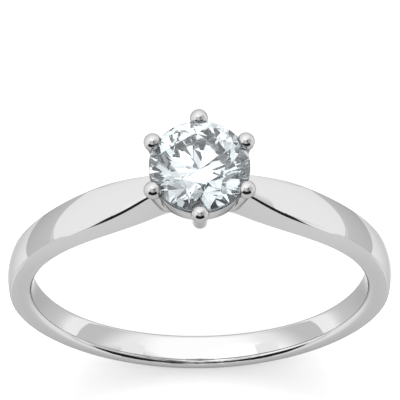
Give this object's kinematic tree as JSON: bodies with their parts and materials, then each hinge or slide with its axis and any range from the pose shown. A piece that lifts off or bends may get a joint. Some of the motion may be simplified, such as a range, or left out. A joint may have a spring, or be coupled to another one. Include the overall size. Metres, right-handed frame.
{
  "type": "engagement ring",
  "caption": "Finger ring with a tapered polished hoop whose shoulders sweep up to a claw head that holds a round faceted stone.",
  "frame": {"origin": "centre of the finger hole, halfway through the ring", "axes": "+Y along the finger, +Z from the finger's centre up through the middle of the stone, +X across the finger to the right-hand shoulder"},
  "size_m": [0.02, 0.0062, 0.0226],
  "materials": {
    "shank_metal": "polished rhodium-plated white gold",
    "head_metal": "polished rhodium-plated white gold",
    "stone": "polished facets, clear and colourless"
  },
  "bodies": {
    "root": {"shank": "shank_metal", "head_base": "head_metal", "lower_rail": "head_metal", "gallery_rail": "head_metal", "claw_right_back": "head_metal", "claw_back": "head_metal", "claw_left_back": "head_metal", "claw_left_front": "head_metal", "claw_front": "head_metal", "claw_right_front": "head_metal", "diamond": "stone"}
  },
  "joints": []
}
